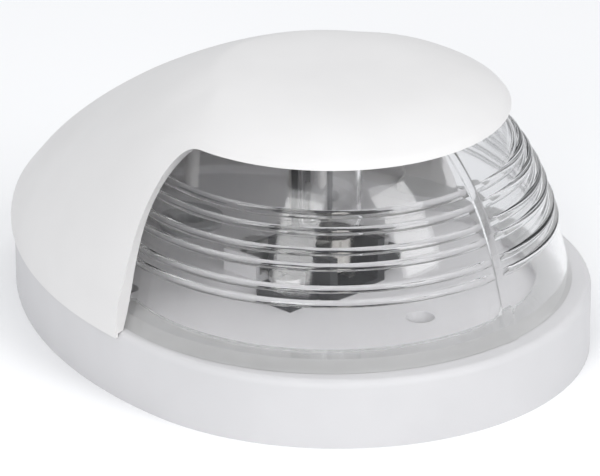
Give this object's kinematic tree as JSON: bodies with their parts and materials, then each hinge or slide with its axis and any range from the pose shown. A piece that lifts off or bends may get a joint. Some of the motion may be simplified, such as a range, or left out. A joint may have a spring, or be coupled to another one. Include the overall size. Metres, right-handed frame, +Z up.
{
  "type": "boat navigation light",
  "caption": "Deck-mounted bow navigation light with an egg-shaped base, a lift-off white hood, a clear two-piece wrap-round lens and a festoon bulb in a moulded holder.",
  "frame": {"origin": "centre of the light's footprint, on the deck surface it is screwed to", "axes": "+X to the bow (the lens), +Y to port, +Z up from the deck"},
  "size_m": [0.1022, 0.0798, 0.0453],
  "materials": {
    "base_plastic": "white moulded ASA, satin",
    "hood_plastic": "white moulded ASA, fine satin",
    "lens_clear": "clear moulded polycarbonate",
    "foam_rubber": "closed-cell foam sheet",
    "seal_rubber": "white silicone cord",
    "grommet_rubber": "grey, matt",
    "holder_plastic": "dark moulded plastic",
    "contact_brass": "spring brass, tinned all over",
    "stainless": "bright stainless steel",
    "bulb_nickel": "nickel-plated brass",
    "bulb_glass": "clear thin glass",
    "tungsten": "coiled wire",
    "lead_wire": "bare wire"
  },
  "bodies": {
    "base": {"base": "base_plastic", "mounting_gasket": "foam_rubber", "cover_seal": "seal_rubber", "cable_grommet": "grommet_rubber", "lamp_holder": "holder_plastic", "terminal_block": "base_plastic", "contact_lower": "contact_brass", "contact_upper": "contact_brass", "holder_screws": "stainless", "terminal_screws": "stainless", "terminal_washers": "stainless", "contact_rivets": "contact_brass"},
    "cover": {"hood": "hood_plastic", "lens_port": "lens_clear", "lens_starboard": "lens_clear"},
    "bulb": {"bulb_glass": "bulb_glass", "bulb_cap_lower": "bulb_nickel", "bulb_cap_upper": "bulb_nickel", "bulb_filament": "tungsten", "bulb_leads": "lead_wire"}
  },
  "joints": [
    {"name": "cover_lift", "type": "slide", "parent": "base", "child": "cover", "axis": [0, 0, 1], "range_m": [0, 0.045]},
    {"name": "bulb_pull", "type": "slide", "parent": "base", "child": "bulb", "axis": [1, 0, 0], "range_m": [0, 0.012]}
  ]
}
